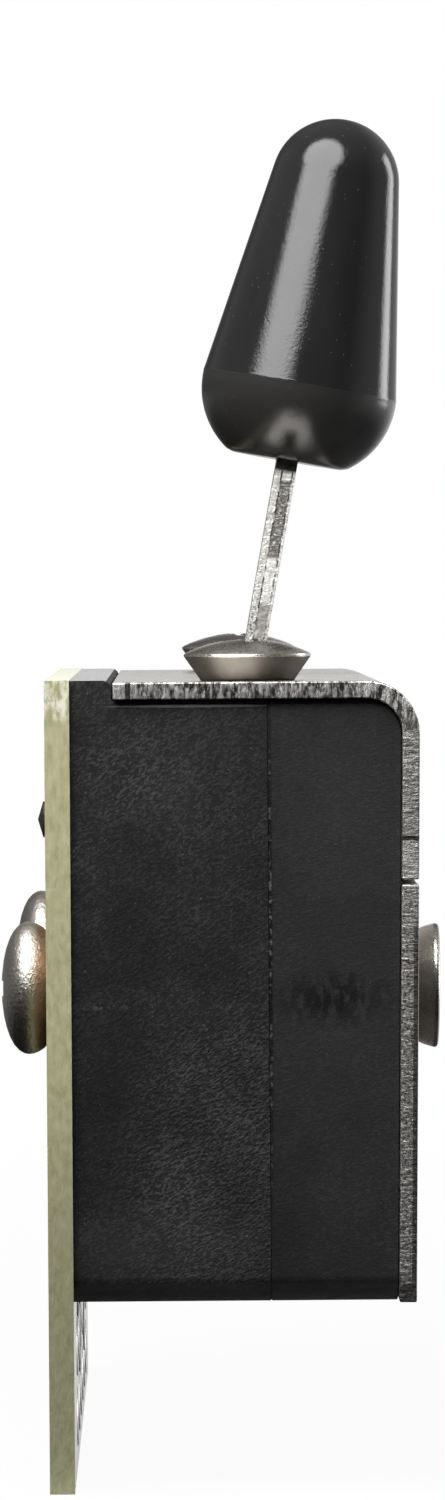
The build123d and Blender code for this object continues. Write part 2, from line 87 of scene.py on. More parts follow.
def add_node(tree, kind, inputs=None, **settings):
    """A shader node with its settings, and its inputs set or linked."""
    made = tree.nodes.new("ShaderNode" + kind)
    for key, value in settings.items():
        setattr(made, key, value)
    for key, value in (inputs or {}).items():
        if isinstance(value, bpy.types.NodeSocket):
            tree.links.new(value, made.inputs[key])
        else:
            made.inputs[key].default_value = value
    return made


def ramp(tree, factor, *stops):
    """Colour ramp through (place, colour) stops; a plain number is a grey."""
    made = add_node(tree, "ValToRGB", {"Fac": factor})
    elements = made.color_ramp.elements
    while len(elements) < len(stops):
        elements.new(0.5)
    for element, (place, colour) in zip(elements, stops):
        element.position = place
        element.color = (*colour, 1) if isinstance(colour, tuple) else (colour, colour, colour, 1)
    return made.outputs["Color"]


def math_node(tree, operation, first, second=0.0, clamp=False):
    """Value of one Math node."""
    made = add_node(tree, "Math", {0: first, 1: second}, operation=operation, use_clamp=clamp)
    return made.outputs[0]


def mixed(tree, factor, first, second):
    """Colour mixed from two by a factor."""
    made = add_node(tree, "Mix", data_type="RGBA")
    for place, value in ((0, factor), (6, first), (7, second)):
        if isinstance(value, bpy.types.NodeSocket):
            tree.links.new(value, made.inputs[place])
        else:
            made.inputs[place].default_value = (*value, 1) if isinstance(value, tuple) else value
    return made.outputs[2]


def new_material(name, **shader_values):
    """Material with its tree, its Principled shader and the object's own coordinates."""
    material = bpy.data.materials.new(name)
    material.use_nodes = True
    tree = material.node_tree
    shader = tree.nodes["Principled BSDF"]
    for key, value in shader_values.items():
        socket = shader.inputs[key.replace("_", " ")]
        socket.default_value = (*value, 1) if isinstance(value, tuple) else value
    place = add_node(tree, "TexCoord").outputs["Object"]
    return material, tree, shader, place


def bump(tree, shader, height, depth, strength=1.0):
    """Relief of a height map, its depth in metres."""
    made = add_node(tree, "Bump", {"Height": height, "Distance": depth, "Strength": strength})
    tree.links.new(made.outputs["Normal"], shader.inputs["Normal"])


def axis_values(tree, place):
    """X, Y and Z of a place as three sockets."""
    split = add_node(tree, "SeparateXYZ", {"Vector": place})
    return split.outputs["X"], split.outputs["Y"], split.outputs["Z"]


def mottle_group():
    """Shared effect: two sizes of mottling, stretched by the scale given along each axis."""
    group = bpy.data.node_groups.new("mottle", "ShaderNodeTree")
    for name, kind in (("Place", "NodeSocketVector"), ("Stretch", "NodeSocketVector")):
        group.interface.new_socket(name, in_out="INPUT", socket_type=kind)
    group.interface.new_socket("Detail size", in_out="INPUT", socket_type="NodeSocketFloat")
    for name in ("Broad", "Fine"):
        group.interface.new_socket(name, in_out="OUTPUT", socket_type="NodeSocketFloat")
    start = group.nodes.new("NodeGroupInput")
    end = group.nodes.new("NodeGroupOutput")
    factors = {0: start.outputs["Place"], 1: start.outputs["Stretch"]}
    scaled = add_node(group, "VectorMath", factors, operation="MULTIPLY").outputs[0]
    for name, scale, detail, roughness in (
        ("Broad", 1.0, 4.0, 0.6),
        ("Fine", start.outputs["Detail size"], 3.0, 0.7),
    ):
        values = {"Vector": scaled, "Scale": scale, "Detail": detail, "Roughness": roughness}
        group.links.new(add_node(group, "TexNoise", values).outputs["Fac"], end.inputs[name])
    return group


mottle = mottle_group()


def mottled(tree, place, stretch, detail=4.0):
    """Broad and fine mottling at a place; stretch is in waves per metre along each axis."""
    made = tree.nodes.new("ShaderNodeGroup")
    made.node_tree = mottle
    tree.links.new(place, made.inputs["Place"])
    made.inputs["Stretch"].default_value = stretch
    made.inputs["Detail size"].default_value = detail
    return made.outputs["Broad"], made.outputs["Fine"]


def near_ends(tree, along, end, depth):
    """Mask that is 1 on the two faces at the ends of a piece."""
    distance = math_node(tree, "ABSOLUTE", along)
    return math_node(tree, "GREATER_THAN", distance, end - depth)


def spot(tree, x, z, centre, half_sizes):
    """Soft oval mask on the end faces, by its middle and half sizes in metres."""
    terms = []
    for value, middle, half in zip((x, z), centre, half_sizes):
        share = math_node(tree, "MULTIPLY", math_node(tree, "SUBTRACT", value, middle), 1 / half)
        terms.append(math_node(tree, "MULTIPLY", share, share))
    return math_node(tree, "SUBTRACT", 1.0, math_node(tree, "ADD", *terms), clamp=True)


def torn_ends(tree, place, x, z, on_leg):
    """Colour, streaks and flecks of the blanked ends."""
    plate_streak, fleck = mottled(tree, place, (6200, 3300, 2200), 3.0)
    leg_streak, _ = mottled(tree, place, (2200, 3300, 6200), 3.0)
    grains, _ = mottled(tree, place, (7600, 7600, 7600), 3.0)
    streak = mixed(tree, on_leg, plate_streak, leg_streak)
    torn = ramp(tree, streak, (0.39, (0.05, 0.047, 0.044)), (0.5, (0.27, 0.26, 0.248)), (0.6, bare_steel))
    torn = mixed(tree, ramp(tree, fleck, (0.56, 0.0), (0.66, 0.5)), torn, (0.9, 0.87, 0.83))
    # The leg is paler to just below its slit, most of all above the slit, and granular from there down.
    level = math_node(tree, "MULTIPLY", z, -1 / leg_length)
    pale = ramp(tree, level, (0.03, 0.0), (0.1, 0.4), (0.36, 0.4), (0.4, 0.0))
    torn = mixed(tree, pale, torn, bare_steel)
    grain_stops = ((0.37, (0.11, 0.106, 0.1)), (0.5, (0.4, 0.39, 0.372)), (0.63, (0.68, 0.66, 0.63)))
    grainy = ramp(tree, level, (0.1, 0.0), (0.13, 0.5), (0.38, 0.5), (0.41, 1.0))
    torn = mixed(tree, grainy, torn, ramp(tree, grains, *grain_stops))
    palest = ramp(tree, level, (0.25, 0.0), (0.26, 0.4), (0.315, 0.4), (0.325, 0.0))
    torn = mixed(tree, palest, torn, bright_steel)
    # Painted highlights streak round the bend; painted shade darkens the leg's rolled-over rim and foot.
    at_bend = ramp(tree, spot(tree, x, z, *bend_highlight_spot), (0.0, 0.0), (0.5, 1.0))
    bright = math_node(tree, "MULTIPLY", at_bend, ramp(tree, plate_streak, (0.46, 0.0), (0.56, 0.8)))
    torn = mixed(tree, bright, torn, (0.97, 0.95, 0.92))
    # Painted shade: a dark band along the leg's rolled-over outer rim and across its foot.
    plumb = math_node(tree, "SUBTRACT", x, math_node(tree, "MULTIPLY", z, math.tan(leg_lean)))
    rim = math_node(tree, "GREATER_THAN", plumb, leg_outer - shaded_rim_width)
    rim = math_node(tree, "MULTIPLY", rim, ramp(tree, level, (0.36, 0.0), (0.42, 0.8)))
    foot = ramp(tree, level, (0.94, 0.0), (0.965, 0.85))
    torn = mixed(tree, math_node(tree, "MAXIMUM", rim, foot), torn, (0.05, 0.048, 0.046))
    # The plate's tip is bright, and dark lines cross the plate and the leg.
    tip = spot(tree, x, z, *plate_tip)
    torn = mixed(tree, ramp(tree, tip, (0.1, 0.0), (0.4, 0.6)), torn, bright_steel)
    for centre, half_sizes in dark_lines:
        line = spot(tree, x, z, centre, half_sizes)
        torn = mixed(tree, ramp(tree, line, (0.1, 0.0), (0.5, 0.9)), torn, (0.02, 0.02, 0.02))
    return torn, streak, fleck


def bracket_plating():
    material, tree, shader, place = new_material("bracket_plating", Metallic=1.0)
    x, y, z = axis_values(tree, place)
    on_leg = math_node(tree, "LESS_THAN", z, bend_foot)
    broad, fine = mottled(tree, place, (260, 260, 260), 9.0)
    plate = ramp(tree, broad, (0.3, (0.56, 0.53, 0.495)), (0.75, (0.70, 0.67, 0.63)))
    torn, streak, fleck = torn_ends(tree, place, x, z, on_leg)
    blanked = near_ends(tree, y, bracket_end, 0.05 * mm)
    tree.links.new(mixed(tree, blanked, plate, torn), shader.inputs["Base Color"])
    smooth = ramp(tree, fine, (0.3, 0.23), (0.7, 0.32))
    satin = ramp(tree, fine, (0.3, 0.36), (0.7, 0.46))
    smooth = mixed(tree, on_leg, smooth, satin)
    rough = ramp(tree, fleck, (0.3, 0.38), (0.7, 0.58))
    tree.links.new(mixed(tree, blanked, smooth, rough), shader.inputs["Roughness"])
    relief = math_node(tree, "MULTIPLY", streak, blanked)
    scratch = math_node(tree, "MULTIPLY", fine, 0.006)
    bump(tree, shader, math_node(tree, "ADD", relief, scratch), 0.05 * mm)
    return material


def show(name, mesh, material, crease=32):
    """Object of a finished mesh, in the scene, with smooth faces between edges sharper than a crease."""
    mesh.name = name
    mesh.materials.clear()
    mesh.materials.append(material)
    mesh.polygons.foreach_set("use_smooth", [True] * len(mesh.polygons))
    mesh.polygons.foreach_set("material_index", [0] * len(mesh.polygons))
    if crease:
        mesh.set_sharp_from_angle(angle=math.radians(crease))
    piece = bpy.data.objects.new(name, mesh)
    bpy.context.scene.collection.objects.link(piece)
    return piece


def plain_mesh(piece):
    """Mesh of an object with its modifiers made real; the object itself is removed."""
    evaluated = piece.evaluated_get(bpy.context.evaluated_depsgraph_get())
    mesh = bpy.data.meshes.new_from_object(evaluated)
    bpy.data.objects.remove(piece)
    return mesh


def broken_edges(node, edge, material, name, foot_level=None):
    """Copy of a CAD node whose sharp edges are broken by a small round.

    What lies below a foot level is set lower by the foot drop, as long as the photograph shows it.
    """
    weld = 0.0005 * mm
    flat_angle = math.radians(0.4)
    sharp_angle = math.radians(40)
    source = nodes[node].data
    mesh = bpy.data.meshes.new(name)
    mesh.from_pydata([v.co for v in source.vertices], [], [p.vertices for p in source.polygons])
    work = bmesh.new()
    work.from_mesh(mesh)
    bmesh.ops.remove_doubles(work, verts=work.verts, dist=weld)
    for vertex in work.verts:
        if foot_level is not None and vertex.co.z < foot_level:
            vertex.co.z -= foot_drop
    bmesh.ops.dissolve_limit(work, angle_limit=flat_angle, verts=work.verts, edges=work.edges)
    work.to_mesh(mesh)
    work.free()
    rough = show(name + ".cad", mesh, material, 0)
    modifier = rough.modifiers.new("broken edge", "BEVEL")
    modifier.width = edge
    modifier.segments = 2
    modifier.limit_method = "ANGLE"
    modifier.angle_limit = sharp_angle
    even = rough.modifiers.new("even shading", "WEIGHTED_NORMAL")
    even.weight = 100
    even.keep_sharp = False
    return show(name, plain_mesh(rough), material, 0)


def fit(piece, body, slot, *replaced):
    """Fix a piece to its body and hide the CAD nodes that it stands for; the record's finish slot is not
    used.
    """
    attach(piece, body)
    if replaced:
        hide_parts(*replaced)
    return piece


bracket = broken_edges("mounting_bracket", bracket_edge, bracket_plating(), "bracket", leg_foot)
fit(bracket, "base", "nickel_plate", "mounting_bracket")

# Body halves: two black glass-filled mouldings that close over the mechanism and hang from the bracket.
# The left one carries the board and its pegs, and its ends have a leathery grain by the parting line. The
# right one is smoother and has a rubbed patch. Both are clamped by the two long screws.
housing_edge = 0.12 * mm
housing_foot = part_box("left_housing")[0].z + 1.15 * mm
lip_sheen = 0.05 * mm


def black_moulding(name, scuff_tilt, scuff_strength, sheen_level, marks, leathery=None):
    material, tree, shader, place = new_material(name, Specular_IOR_Level=0.2)
    x, y, z = axis_values(tree, place)
    turned = add_node(tree, "Mapping", {"Vector": place, "Rotation": (0, scuff_tilt, 0)}).outputs[0]
    scuff, grit = mottled(tree, turned, (5600, 5600, 10500), 2.2)
    leather = spot(tree, x, z, *leathery) if leathery else 0.0
    cloud, speck = mottled(tree, place, (260, 260, 260), 40.0)
    base = ramp(tree, cloud, (0.3, (0.0085, 0.0085, 0.009)), (0.72, (0.0165, 0.0165, 0.017)))
    scuffed = ramp(tree, scuff, (0.46, 0.0), (0.64, 1.0))
    worn = math_node(tree, "MULTIPLY", scuffed, ramp(tree, cloud, (0.36, 0.35), (0.62, 1.0)))
    worn = math_node(tree, "MULTIPLY", worn, ramp(tree, leather, (0.0, 0.52), (0.7, 1.0)))
    base = mixed(tree, math_node(tree, "MULTIPLY", worn, scuff_strength), base, (0.085, 0.084, 0.082))
    flecks = ramp(tree, speck, (0.64, 0.0), (0.72, 0.9 * scuff_strength))
    base = mixed(tree, flecks, base, (0.2, 0.197, 0.19))
    strokes, _ = mottled(tree, place, (2600, 2600, 1100), 3.0)
    chips, _ = mottled(tree, place, (5000, 5000, 5000), 3.0)
    textures = {
        "plain": (1.0, 0.5),
        "scuff": (scuff, 0.48),
        "strokes": (strokes, 0.42),
        "chips": (chips, 0.52),
    }
    for centre, half_sizes, colour, amount, texture in marks:
        inside = spot(tree, x, z, centre, half_sizes)
        pattern, least = textures[texture]
        cover = ramp(tree, pattern, (least, 0.0), (least + 0.13, amount))
        base = mixed(tree, math_node(tree, "MULTIPLY", inside, cover), base, colour)
    tree.links.new(base, shader.inputs["Base Color"])
    dull = ramp(tree, grit, (0.3, 0.44), (0.7, 0.7))
    sheen = math_node(tree, "GREATER_THAN", z, sheen_level)
    tree.links.new(mixed(tree, sheen, dull, (0.14, 0.14, 0.14)), shader.inputs["Roughness"])
    depth = ramp(tree, leather, (0.0, 0.35 * scuff_strength), (0.8, scuff_strength))
    relief = math_node(tree, "MULTIPLY", scuff, depth)
    relief = math_node(tree, "ADD", relief, math_node(tree, "MULTIPLY", speck, 0.1))
    bump(tree, shader, relief, 0.09 * mm)
    return material


# Marks on the ends, each with its middle, half sizes, colour, amount and texture.
gate_mark = ((-6.0 * mm, -12.9 * mm), (1.6 * mm, 0.16 * mm), (0.1, 0.098, 0.092), 0.5, "chips")
scuffed_patch = ((-4.9 * mm, -3.6 * mm), (2.6 * mm, 2.2 * mm), (0.1, 0.098, 0.096), 0.24, "scuff")
# Two darker areas on the left end, one in its middle and one at its lower corner.
darker_band = ((-4.3 * mm, -8.6 * mm), (1.8 * mm, 3.9 * mm), (0.006, 0.006, 0.006), 0.4, "plain")
darker_corner = ((-6.0 * mm, -17.5 * mm), (2.6 * mm, 7.0 * mm), (0.006, 0.006, 0.006), 0.42, "plain")
# Painted highlight: a pale line along the left half's top edge under the plate.
top_edge_highlight = ((-2.4 * mm, -0.95 * mm), (3.6 * mm, 0.07 * mm), (0.3, 0.296, 0.29), 0.7, "plain")
pale_foot = ((-3.2 * mm, -22.4 * mm), (6.0 * mm, 1.8 * mm), (0.045, 0.045, 0.0445), 0.25, "plain")
pale_half = ((4.2 * mm, -9.0 * mm), (6.0 * mm, 24.0 * mm), (0.035, 0.035, 0.0355), 0.35, "plain")
rubbed_patch = ((3.3 * mm, -12.6 * mm), (2.7 * mm, 1.3 * mm), (0.003, 0.003, 0.0033), 0.95, "strokes")
# Painted light: both ends are paler along their foot, standing in for light thrown up from the floor.
painted_foot_light = ((0.0, -25.0 * mm), (60.0 * mm, 1.1 * mm), (0.1, 0.1, 0.1), 1.0, "plain")
# Dirt and painted shade: a dark line down the parting groove.
parting_dirt_and_shade = ((0.8 * mm, -10.0 * mm), (0.12 * mm, 14.0 * mm), (0.001, 0.001, 0.001), 0.95, "plain")
parting_chips = ((0.8 * mm, -11.0 * mm), (0.09 * mm, 11.0 * mm), (0.2, 0.197, 0.19), 0.5, "chips")
shared_marks = (painted_foot_light, parting_dirt_and_shade, parting_chips)
left_marks = (darker_band, darker_corner, gate_mark, scuffed_patch, top_edge_highlight, pale_foot, *shared_marks)
right_marks = (pale_half, rubbed_patch, *shared_marks)
leathery_patch = ((-0.9 * mm, -19.4 * mm), (4.6 * mm, 8.0 * mm))
left_finish = black_moulding("left_moulding", 0.6, 0.7, lip_sheen, left_marks, leathery_patch)
left_half = broken_edges("left_housing", housing_edge, left_finish, "left_half", housing_foot)
fit(left_half, "base", "black_moulding", "left_housing")
right_finish = black_moulding("right_moulding", 0.2, 0.4, lip_sheen, right_marks)
right_half = broken_edges("right_housing", housing_edge, right_finish, "right_half", housing_foot)
fit(right_half, "base", "black_moulding", "right_housing")

# Mechanism inside the body: the swing carrier and the wiper block are satin mouldings, the leaves and
# wipers are rolled bronze, the contacts and link pins are tinned, and the axle is ground steel. They
# are the CAD pieces themselves, and show only through the lever slot.


def satin_moulding():
    material, tree, shader, place = new_material("carrier_moulding")
    cloud, speck = mottled(tree, place, (500, 500, 500), 12.0)
    base = ramp(tree, cloud, (0.3, (0.045, 0.045, 0.05)), (0.7, (0.075, 0.075, 0.08)))
    tree.links.new(base, shader.inputs["Base Color"])
    tree.links.new(ramp(tree, speck, (0.3, 0.36), (0.7, 0.5)), shader.inputs["Roughness"])
    bump(tree, shader, speck, 0.01 * mm)
    return material


def rolled_metal(name, dark, light, stretch, smooth, rough):
    material, tree, shader, place = new_material(name, Metallic=1.0)
    grain, fine = mottled(tree, place, stretch, 6.0)
    tree.links.new(ramp(tree, grain, (0.3, dark), (0.7, light)), shader.inputs["Base Color"])
    tree.links.new(ramp(tree, fine, (0.3, smooth), (0.7, rough)), shader.inputs["Roughness"])
    bump(tree, shader, fine, 0.006 * mm)
    return material


bronze = ((0.56, 0.36, 0.2), (0.74, 0.52, 0.31))
tin = ((0.6, 0.59, 0.57), (0.8, 0.79, 0.76))
steel = ((0.5, 0.49, 0.47), (0.68, 0.67, 0.65))
spring_bronze = rolled_metal("rolled_bronze", *bronze, (1500, 200, 1500), 0.2, 0.36)
tinned = rolled_metal("tinned", *tin, (900, 900, 900), 0.22, 0.42)
ground_steel = rolled_metal("ground_steel", *steel, (3000, 400, 400), 0.18, 0.3)
inner_moulding = satin_moulding()
for name, finish in (
    ("swing_carrier", inner_moulding),
    ("wiper_block", inner_moulding),
    ("rock_leaf", spring_bronze),
    ("detent_leaf", spring_bronze),
    ("bank_a_wiper", spring_bronze),
    ("bank_b_wiper", spring_bronze),
    ("bank_a_contacts", tinned),
    ("bank_b_contacts", tinned),
    ("link_pins", tinned),
    ("pivot_axle", ground_steel),
):
    nodes[name].material_slots[0].material = finish

# Circuit board: 1 mm glass-epoxy laminate, bare and olive where it was sawn, screwed to the body's side.
# Its lower strip hangs below the body for the wires. Tracks are etched copper, tinned at the pads.
board_low, board_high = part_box("circuit_board")
board_edge = 0.05 * mm
board_end = board_high.y
board_outer = board_low.x
board_inner = board_high.x
board_length = 32.0 * mm
top_sheen = 0.06 * mm
crushed_spot = (((board_outer + board_inner) / 2, -0.4 * mm), (0.9 * mm, 1.3 * mm))


def laminate(name):
    material, tree, shader, place = new_material(name, Specular_IOR_Level=0.5)
    x, y, z = axis_values(tree, place)
    cloud, fibre = mottled(tree, place, (240, 240, 240), 14.0)
    sawn_streak, sawn_fleck = mottled(tree, place, (3600, 3600, 1500), 3.0)
    face = ramp(tree, cloud, (0.3, (0.36, 0.36, 0.19)), (0.7, (0.45, 0.45, 0.25)))
    wave = {"Vector": place, "Scale": 620.0, "Distortion": 0.6}
    threads = [add_node(tree, "TexWave", wave, bands_direction=axis).outputs["Fac"] for axis in "YZ"]
    weave = math_node(tree, "MULTIPLY", *threads)
    face = mixed(tree, math_node(tree, "MULTIPLY", weave, 0.35), face, (0.55, 0.55, 0.34))
    sawn_stops = ((0.3, (0.30, 0.288, 0.155)), (0.5, (0.39, 0.375, 0.215)), (0.7, (0.46, 0.445, 0.275)))
    sawn = ramp(tree, sawn_streak, *sawn_stops)
    sawn = mixed(tree, ramp(tree, sawn_fleck, (0.6, 0.0), (0.75, 0.3)), sawn, (0.55, 0.535, 0.38))
    crushed = ramp(tree, spot(tree, x, z, *crushed_spot), (0.0, 0.0), (0.6, 1.0))
    crushed = math_node(tree, "MULTIPLY", crushed, ramp(tree, sawn_streak, (0.44, 0.0), (0.6, 0.7)))
    sawn = mixed(tree, crushed, sawn, (0.82, 0.81, 0.72))
    # The sawn end darkens towards the bottom: painted shade.
    depth = math_node(tree, "MULTIPLY", z, -1 / board_length)
    sawn = mixed(tree, ramp(tree, depth, (0.5, 0.0), (0.72, 0.4)), sawn, (0.17, 0.162, 0.1))
    at_end = near_ends(tree, y, board_end, 0.03 * mm)
    tree.links.new(mixed(tree, at_end, face, sawn), shader.inputs["Base Color"])
    gloss = ramp(tree, fibre, (0.3, 0.1), (0.7, 0.18))
    dull = ramp(tree, sawn_fleck, (0.3, 0.6), (0.7, 0.8))
    gloss = mixed(tree, math_node(tree, "GREATER_THAN", z, top_sheen), gloss, (0.16, 0.16, 0.16))
    tree.links.new(mixed(tree, at_end, gloss, dull), shader.inputs["Roughness"])
    relief = mixed(tree, at_end, math_node(tree, "MULTIPLY", weave, 0.08), sawn_streak)
    bump(tree, shader, relief, 0.04 * mm)
    return material


board_laminate = laminate("board_laminate")
board = broken_edges("circuit_board", board_edge, board_laminate, "board")
fit(board, "base", "board_laminate", "circuit_board")
nodes["contact_board"].material_slots[0].material = board_laminate

# Tracks of the board: etched copper under lacquer, with a ring under each clamp screw's head. On the
# outer face they run from the link pins and the contact bank down to the wire holes; the inner face has
# a few more that jog over to the lower row.
track_width = 0.7 * mm
track_height = 0.05 * mm
ring_inner = 1.6 * mm
ring_outer = 3.5 * mm
clamp_low, clamp_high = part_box("clamp_screws")
clamp_head = 2.7
clamp_line = clamp_high.y - clamp_head * mm
clamp_level = (clamp_low.z + clamp_high.z) / 2
outer_routes = (
    ((0.9, -13.6), (0.9, -28.2), (3.0, -30.17)),
    ((4.4, -12.8), (3.0, -14.4), (3.0, -27.3)),
    ((10.9, -4.97), (7.6, -5.9), (7.6, -22.4), (6.0, -24.0), (6.0, -27.4), (9.0, -30.17)),
    ((10.9, -7.46), (9.2, -8.3), (9.2, -26.4), (9.0, -27.3)),
    ((10.9, -9.95), (10.9, -22.6), (12.0, -23.7), (12.0, -27.4), (15.0, -30.17)),
)
inner_routes = (
    ((13.0, -22.0), (13.0, -25.3), (15.0, -27.3)),
    ((-1.4, -22.0), (-1.4, -26.0), (-3.0, -27.3)),
    ((6.6, -22.0), (6.6, -28.0), (9.0, -30.17)),
)


def track_copper():
    lacquer = {"Coat_Weight": 0.6, "Coat_Roughness": 0.15}
    material, tree, shader, place = new_material("track_copper", Metallic=0.75, **lacquer)
    cloud, speck = mottled(tree, place, (420, 420, 420), 9.0)
    base = ramp(tree, cloud, (0.3, (0.30, 0.17, 0.075)), (0.7, (0.46, 0.28, 0.13)))
    tree.links.new(base, shader.inputs["Base Color"])
    tree.links.new(ramp(tree, speck, (0.3, 0.3), (0.7, 0.45)), shader.inputs["Roughness"])
    bump(tree, shader, speck, 0.008 * mm)
    return material


def raised_line(work, route, face, outwards):
    """Flat strip with square shoulders and mitred corners along (y, z) points of a board face."""
    points = [Vector((y, z)) * mm for y, z in route]
    rows = []
    for index, point in enumerate(points):
        before = (point - points[index - 1]).normalized() if index else None
        after = (points[index + 1] - point).normalized() if index + 1 < len(points) else None
        along = (before or after) if not (before and after) else (before + after).normalized()
        across = Vector((-along.y, along.x))
        stretch = 1.0 if not (before and after) else 1.0 / max(0.4, along.dot(after))
        left = point + across * track_width / 2 * stretch
        right = point - across * track_width / 2 * stretch
        top = face + outwards * track_height
        rows.append([work.verts.new((x, p.x, p.y)) for p in (left, right) for x in (face, top)])
    for first, second in zip(rows, rows[1:]):
        for a, b in ((0, 1), (1, 3), (3, 2), (2, 0)):
            work.faces.new((first[a], first[b], second[b], second[a]))
    for row in (rows[0], rows[-1]):
        work.faces.new((row[0], row[1], row[3], row[2]))


def raised_ring(work, y, z, inner, outer, face, outwards, steps=48):
    """Flat ring on a board face."""
    loops = []
    top = face + outwards * track_height
    turns = [2 * math.pi * step / steps for step in range(steps)]
    for radius, x in ((inner, face), (outer, face), (outer, top), (inner, top)):
        rim = [(y + radius * math.cos(t), z + radius * math.sin(t)) for t in turns]
        loops.append([work.verts.new((x, *point)) for point in rim])
    for index in range(4):
        first, second = loops[index], loops[(index + 1) % 4]
        for step in range(steps):
            following = (step + 1) % steps
            work.faces.new((first[step], first[following], second[following], second[step]))


def mesh_of(work, name):
    """Mesh of a finished bmesh, with its faces turned outwards."""
    bmesh.ops.recalc_face_normals(work, faces=work.faces)
    mesh = bpy.data.meshes.new(name)
    work.to_mesh(mesh)
    work.free()
    return mesh


work = bmesh.new()
for side in (-1, 1):
    raised_ring(work, side * clamp_line, clamp_level, ring_inner, ring_outer, board_outer, -1)
    for route in outer_routes:
        raised_line(work, [(side * y, z) for y, z in route], board_outer, -1)
    for route in inner_routes:
        raised_line(work, [(side * y, z) for y, z in route], board_inner, 1)
tracks = show("board_tracks", mesh_of(work, "board_tracks"), track_copper())
fit(tracks, "base", "tinned_contact")

# Wire pads and solder joints: tinned rings round the twelve wire holes on both faces of the board, and a
# small cone of solder round each link pin's tip. Dipped, so their rims are soft and slightly domed.
# Each grid is a number of columns and their pitch, then a number of rows and their pitch.
pad_level = -28.736 * mm
pad_grid = (6, 6.0 * mm, 2, 2.875 * mm)
solder_level = -7.462 * mm
solder_grid = (2, 21.8 * mm, 3, 2.492 * mm)


def rows_tree():
    """Geometry Nodes: copies of a master in columns along Y and rows along Z, made real."""
    tree = bpy.data.node_groups.new("copies_in_rows", "GeometryNodeTree")
    for name, kind in (
        ("Master", "NodeSocketGeometry"),
        ("Columns", "NodeSocketInt"),
        ("Rows", "NodeSocketInt"),
        ("Column pitch", "NodeSocketFloat"),
        ("Row pitch", "NodeSocketFloat"),
        ("Finish", "NodeSocketMaterial"),
    ):
        tree.interface.new_socket(name, in_out="INPUT", socket_type=kind)
    tree.interface.new_socket("Copies", in_out="OUTPUT", socket_type="NodeSocketGeometry")
    start = tree.nodes.new("NodeGroupInput")
    end = tree.nodes.new("NodeGroupOutput")
    grid = tree.nodes.new("GeometryNodeMeshGrid")
    for count, pitch, size, vertices in (
        ("Columns", "Column pitch", "Size X", "Vertices X"),
        ("Rows", "Row pitch", "Size Y", "Vertices Y"),
    ):
        gaps = math_node(tree, "SUBTRACT", start.outputs[count], 1.0)
        tree.links.new(math_node(tree, "MULTIPLY", gaps, start.outputs[pitch]), grid.inputs[size])
        tree.links.new(start.outputs[count], grid.inputs[vertices])
    upright = tree.nodes.new("GeometryNodeTransform")
    upright.inputs["Rotation"].default_value = (math.radians(90), 0, math.radians(90))
    copies = tree.nodes.new("GeometryNodeInstanceOnPoints")
    real = tree.nodes.new("GeometryNodeRealizeInstances")
    finish = tree.nodes.new("GeometryNodeSetMaterial")
    tree.links.new(grid.outputs["Mesh"], upright.inputs["Geometry"])
    tree.links.new(upright.outputs["Geometry"], copies.inputs["Points"])
    tree.links.new(start.outputs["Master"], copies.inputs["Instance"])
    tree.links.new(copies.outputs["Instances"], real.inputs["Geometry"])
    tree.links.new(real.outputs["Geometry"], finish.inputs["Geometry"])
    tree.links.new(start.outputs["Finish"], finish.inputs["Material"])
    tree.links.new(finish.outputs["Geometry"], end.inputs["Copies"])
    return tree


copies_in_rows = rows_tree()


def in_rows(name, mesh, material, columns, column_pitch, rows=1, row_pitch=0.0):
    """Piece made of copies of a mesh in columns along the switch and rows up it."""
    master = show(name + ".master", mesh, material)
    modifier = master.modifiers.new("rows", "NODES")
    modifier.node_group = copies_in_rows
    values = {
        "Columns": columns,
        "Rows": rows,
        "Column pitch": column_pitch,
        "Row pitch": row_pitch,
        "Finish": material,
    }
    for item in copies_in_rows.interface.items_tree:
        if item.in_out == "INPUT" and item.name in values:
            modifier[item.identifier] = values[item.name]
    return show(name, plain_mesh(master), material)


def lathe(profile, place, segments=72):
    """Mesh turned about a local Z axis from (radius, height) points in mm, moved by a matrix."""
    work = bmesh.new()
    loops = []
    for radius, height in profile:
        if radius < 1e-6:
            loops.append([work.verts.new((0, 0, height * mm))])
            continue
        turns = [2 * math.pi * step / segments for step in range(segments)]
        rim = [(radius * mm * math.cos(t), radius * mm * math.sin(t)) for t in turns]
        loops.append([work.verts.new((*point, height * mm)) for point in rim])
    pairs = list(zip(loops, loops[1:]))
    if len(loops[0]) > 1 and len(loops[-1]) > 1:
        pairs.append((loops[-1], loops[0]))
    for first, second in pairs:
        for step in range(segments):
            following = (step + 1) % segments
            corners = [first[step % len(first)], first[following % len(first)]]
            corners += [second[following % len(second)], second[step % len(second)]]
            work.faces.new(list(dict.fromkeys(corners)))
    work.transform(place)
    return mesh_of(work, "turned")


def facing(direction, point):
    """Matrix that takes a local Z axis to a direction, at a point in metres."""
    turn = Vector((0, 0, 1)).rotation_difference(Vector(direction))
    return Matrix.Translation(point) @ turn.to_matrix().to_4x4()


pad_profile = [(0.58, -1.04), (1.18, -1.04), (1.25, -1.0), (0.62, -0.97), (0.56, -0.9), (0.56, -0.1)]
pad_profile += [(0.62, -0.03), (1.25, 0.0), (1.18, 0.05), (0.95, 0.09), (0.7, 0.08), (0.58, 0.03)]
pad_profile += [(0.52, -0.1), (0.52, -0.9)]
pad_place = facing((-1, 0, 0), (board_outer, 0, pad_level))
pads = in_rows("wire_pads", lathe(pad_profile, pad_place, 40), tinned, *pad_grid)
fit(pads, "base", "tinned_contact")
solder_profile = [(0, 0), (0.95, 0), (0.82, 0.06), (0.62, 0.12), (0.45, 0.16), (0.25, 0.18), (0, 0.185)]
solder_place = facing((-1, 0, 0), (board_outer, 0, solder_level))
solder = in_rows("pin_solder", lathe(solder_profile, solder_place, 32), tinned, *solder_grid)
fit(solder, "base", "tinned_contact")

